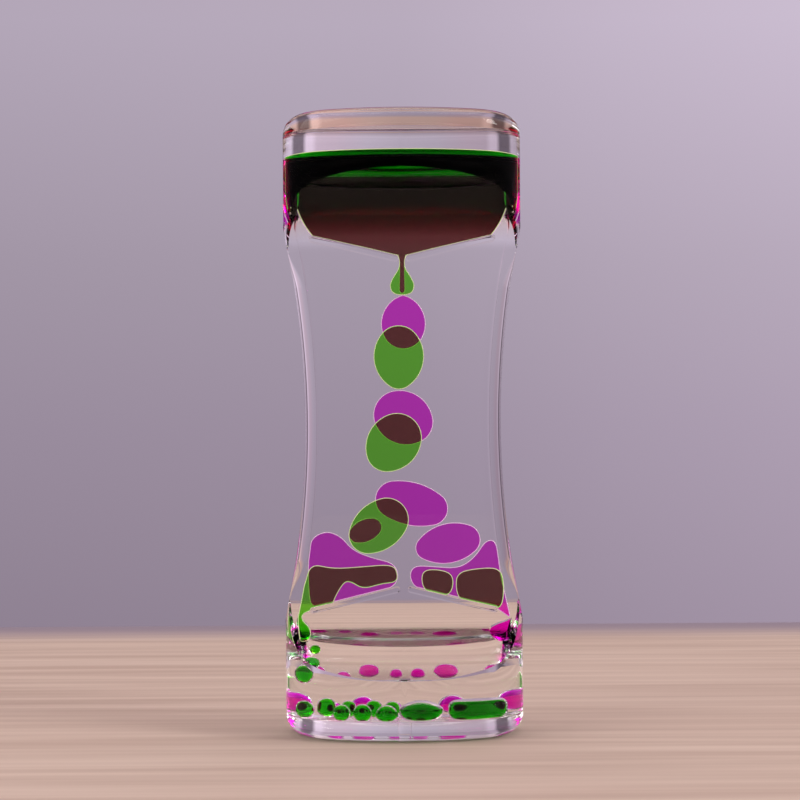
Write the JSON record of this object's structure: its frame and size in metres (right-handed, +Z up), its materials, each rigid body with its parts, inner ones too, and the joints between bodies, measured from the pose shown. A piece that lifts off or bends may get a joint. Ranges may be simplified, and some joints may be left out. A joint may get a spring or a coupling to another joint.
{
  "type": "liquid motion timer",
  "caption": "Clear hourglass-waisted desk timer: coloured drops fall through nozzles in two thin cells, onto sloping ramps and down to the floor.",
  "frame": {"origin": "middle of the flat base", "axes": "+Z up along the height, +X to the right across the width, the green front cell at -Y"},
  "size_m": [0.05, 0.03, 0.13],
  "materials": {
    "clear_acrylic": "clear polished acrylic",
    "ramp_acrylic": "clear acrylic strip",
    "plug_acrylic": "clear acrylic plug",
    "green_liquid": "transparent green liquid",
    "magenta_liquid": "transparent magenta liquid"
  },
  "bodies": {
    "root": {"front_shell": "clear_acrylic", "rear_shell": "clear_acrylic", "divider_plate": "clear_acrylic", "front_upper_left_ramp": "ramp_acrylic", "front_upper_right_ramp": "ramp_acrylic", "front_lower_left_ramp": "ramp_acrylic", "front_lower_right_ramp": "ramp_acrylic", "rear_upper_left_ramp": "ramp_acrylic", "rear_upper_right_ramp": "ramp_acrylic", "rear_lower_left_ramp": "ramp_acrylic", "rear_lower_right_ramp": "ramp_acrylic", "front_filler_plug": "plug_acrylic", "rear_filler_plug": "plug_acrylic", "green_upper_liquid": "green_liquid", "green_left_puddle": "green_liquid", "green_right_puddles": "green_liquid", "green_edge_drop": "green_liquid", "green_floor_drops": "green_liquid", "magenta_upper_liquid": "magenta_liquid", "magenta_drop_3": "magenta_liquid", "magenta_drop_4": "magenta_liquid", "magenta_drop_5": "magenta_liquid", "magenta_left_puddle": "magenta_liquid", "magenta_right_puddle": "magenta_liquid", "magenta_side_drops": "magenta_liquid", "magenta_floor_drops": "magenta_liquid"},
    "green_drop_1_body": {"green_drop_1": "green_liquid"},
    "green_drop_2_body": {"green_drop_2": "green_liquid"},
    "green_drop_3_body": {"green_drop_3": "green_liquid"},
    "magenta_drop_1_body": {"magenta_drop_1": "magenta_liquid"},
    "magenta_drop_2_body": {"magenta_drop_2": "magenta_liquid"},
    "green_sinking_drop_body": {"green_sinking_drop": "green_liquid"}
  },
  "joints": [
    {"name": "green_drop_1_fall", "type": "slide", "parent": "root", "child": "green_drop_1_body", "axis": [0, 0, -1], "range_m": [-0.0035, 0.0022]},
    {"name": "green_drop_2_fall", "type": "slide", "parent": "root", "child": "green_drop_2_body", "axis": [0, 0, -1], "range_m": [-0.0035, 0.0022]},
    {"name": "green_drop_3_fall", "type": "slide", "parent": "root", "child": "green_drop_3_body", "axis": [0, 0, -1], "range_m": [-0.0035, 0.0022]},
    {"name": "magenta_drop_1_fall", "type": "slide", "parent": "root", "child": "magenta_drop_1_body", "axis": [0, 0, -1], "range_m": [0, 0.0065]},
    {"name": "magenta_drop_2_fall", "type": "slide", "parent": "root", "child": "magenta_drop_2_body", "axis": [0, 0, -1], "range_m": [0, 0.0065]},
    {"name": "green_sinking_drop_fall", "type": "slide", "parent": "root", "child": "green_sinking_drop_body", "axis": [0, 0, -1], "range_m": [0, 0.0033]}
  ],
  "couplings": [
    {"joint": "green_drop_2_fall", "follows": "green_drop_1_fall", "ratio": 1},
    {"joint": "green_drop_3_fall", "follows": "green_drop_1_fall", "ratio": 1},
    {"joint": "magenta_drop_2_fall", "follows": "magenta_drop_1_fall", "ratio": 1}
  ]
}
